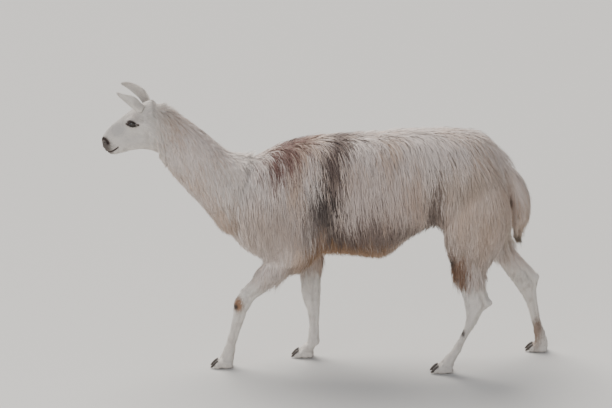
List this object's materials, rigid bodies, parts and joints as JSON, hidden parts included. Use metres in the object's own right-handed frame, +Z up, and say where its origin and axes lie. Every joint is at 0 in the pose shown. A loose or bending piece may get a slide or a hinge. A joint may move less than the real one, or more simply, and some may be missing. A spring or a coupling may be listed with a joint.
{
  "type": "llama",
  "caption": "Life-size llama in a walking stance, head stretched forward and woolly coat hanging to the belly, standing on flat two-toed soles.",
  "frame": {"origin": "middle of the bounding box, on the plane of the soles", "axes": "+X towards the tail, so that the head points along -X; -Y is the animal's left side; +Z up"},
  "size_m": [2.1242, 0.4696, 1.3491],
  "materials": {
    "fleece": "long cream wool in fine hanging locks, tan and dark brown patches on shoulder, flank and belly",
    "short_hair": "short flat off-white hair over skin, grey freckles and dark lips on the face",
    "eye": "wet dark brown, mirror smooth",
    "nail": "dull dark horn"
  },
  "bodies": {
    "root": {"neck": "fleece", "trunk": "fleece", "tail": "fleece", "foreleg_left_shoulder": "fleece", "foreleg_right_shoulder": "fleece", "hindleg_left_thigh": "fleece", "hindleg_right_thigh": "fleece", "head": "short_hair", "ear_left": "short_hair", "ear_right": "short_hair", "foreleg_left_shank": "short_hair", "foreleg_left_foot": "short_hair", "foreleg_right_shank": "short_hair", "foreleg_right_foot": "short_hair", "hindleg_left_shank": "short_hair", "hindleg_left_foot": "short_hair", "hindleg_right_shank": "short_hair", "hindleg_right_foot": "short_hair", "eye_left": "eye", "eye_right": "eye", "foreleg_left_nail_outer": "nail", "foreleg_left_nail_inner": "nail", "foreleg_right_nail_outer": "nail", "foreleg_right_nail_inner": "nail", "hindleg_left_nail_outer": "nail", "hindleg_left_nail_inner": "nail", "hindleg_right_nail_outer": "nail", "hindleg_right_nail_inner": "nail"}
  },
  "joints": []
}
